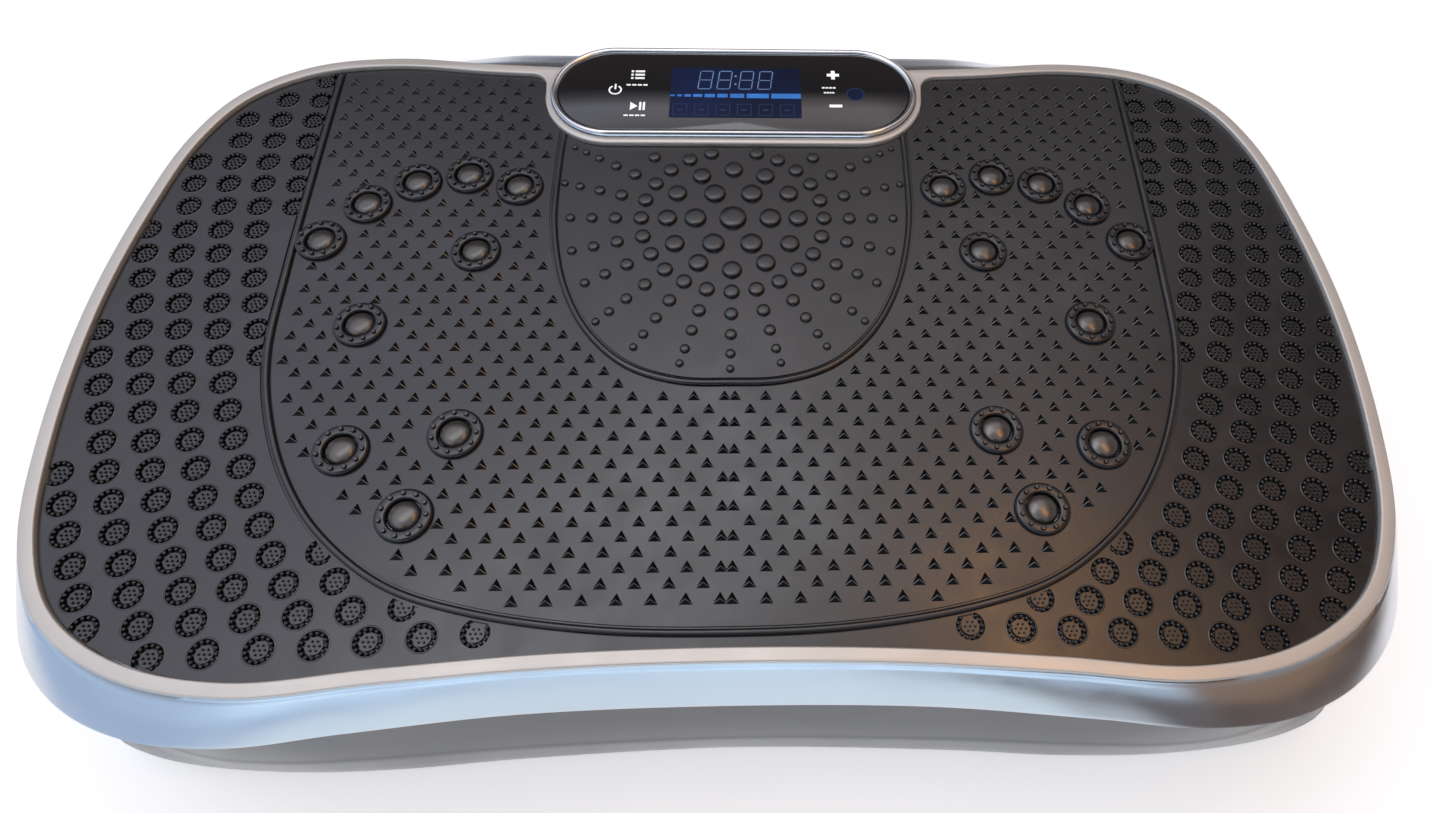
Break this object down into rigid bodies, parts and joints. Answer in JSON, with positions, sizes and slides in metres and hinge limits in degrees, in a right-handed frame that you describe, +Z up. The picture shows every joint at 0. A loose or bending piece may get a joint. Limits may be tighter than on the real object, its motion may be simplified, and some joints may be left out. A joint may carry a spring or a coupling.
{
  "type": "vibration plate",
  "caption": "Low platform whose rubber-matted deck rocks on a central pivot, with magnet studs, a touch console at the far edge and suction feet.",
  "frame": {"origin": "on the floor under the middle of the deck", "axes": "+X to the right across the long side, +Y towards the console, +Z up"},
  "size_m": [0.531, 0.3206, 0.1149],
  "materials": {
    "shell_grey": "gloss dark grey",
    "band_silver": "gloss metallic silver paint",
    "rim_champagne": "satin champagne silver",
    "mat_rubber": "satin black",
    "bezel_chrome": "satin chrome",
    "panel_black": "high gloss black",
    "moulded_black": "fine matt",
    "magnet_pearl": "polished pearl grey",
    "foot_rubber": "matt black",
    "plated_steel": "zinc plated",
    "painted_frame": "black powder coat",
    "cast_alloy": "as cast",
    "circuit_board": "green solder mask"
  },
  "bodies": {
    "base": {"lower_shell": "shell_grey", "base_frame": "painted_frame", "suction_foot_1": "foot_rubber", "suction_foot_2": "foot_rubber", "suction_foot_3": "foot_rubber", "suction_foot_4": "foot_rubber", "foot_screw_1": "plated_steel", "foot_screw_2": "plated_steel", "foot_screw_3": "plated_steel", "foot_screw_4": "plated_steel", "pivot_block_front": "cast_alloy", "pivot_block_rear": "cast_alloy", "crank_block_front": "cast_alloy", "crank_block_rear": "cast_alloy", "motor_body": "cast_alloy", "motor_bracket": "painted_frame", "drive_belt": "foot_rubber", "control_board": "circuit_board", "inlet_tray": "moulded_black", "power_inlet": "moulded_black", "switch_frame": "moulded_black"},
    "deck": {"upper_casing": "band_silver", "rim_trim": "rim_champagne", "mat": "mat_rubber", "deck_frame": "painted_frame", "pivot_shaft_front": "plated_steel", "pivot_shaft_rear": "plated_steel", "rod_pin": "plated_steel", "console_housing": "moulded_black", "display_board": "circuit_board", "console_glass": "panel_black", "console_bezel": "bezel_chrome", "magnet_left_1": "magnet_pearl", "magnet_left_2": "magnet_pearl", "magnet_left_3": "magnet_pearl", "magnet_left_4": "magnet_pearl", "magnet_left_5": "magnet_pearl", "magnet_left_6": "magnet_pearl", "magnet_left_7": "magnet_pearl", "magnet_left_8": "magnet_pearl", "magnet_left_9": "magnet_pearl", "magnet_left_10": "magnet_pearl", "magnet_right_1": "magnet_pearl", "magnet_right_2": "magnet_pearl", "magnet_right_3": "magnet_pearl", "magnet_right_4": "magnet_pearl", "magnet_right_5": "magnet_pearl", "magnet_right_6": "magnet_pearl", "magnet_right_7": "magnet_pearl", "magnet_right_8": "magnet_pearl", "magnet_right_9": "magnet_pearl", "magnet_right_10": "magnet_pearl"},
    "rod": {"connecting_rod": "cast_alloy"},
    "crank": {"crank_shaft": "plated_steel", "crank_pulley": "plated_steel"},
    "rotor": {"motor_shaft": "plated_steel", "motor_pulley": "plated_steel"},
    "rocker": {"rocker_switch": "moulded_black"}
  },
  "joints": [
    {"name": "deck_rock", "type": "hinge", "parent": "base", "child": "deck", "pos_m": [0, 0, 0.068], "axis": [0, 1, 0], "range_deg": [-1.05, 1.05]},
    {"name": "rod_swing", "type": "hinge", "parent": "deck", "child": "rod", "pos_m": [0.08, 0.035, 0.09], "axis": [0, 1, 0], "range_deg": [-1.2, 1.2]},
    {"name": "crank_spin", "type": "hinge", "parent": "base", "child": "crank", "pos_m": [0.08, 0.035, 0.048], "axis": [0, 1, 0], "continuous": true},
    {"name": "motor_spin", "type": "hinge", "parent": "base", "child": "rotor", "pos_m": [-0.105, 0.052, 0.056], "axis": [0, 1, 0], "continuous": true},
    {"name": "power_rocker", "type": "hinge", "parent": "base", "child": "rocker", "pos_m": [-0.072, 0.1485, 0.065], "axis": [1, 0, 0], "range_deg": [0, 16]}
  ],
  "couplings": [
    {"joint": "rod_swing", "follows": "deck_rock", "ratio": -1},
    {"joint": "motor_spin", "follows": "crank_spin", "ratio": 2.4}
  ]
}
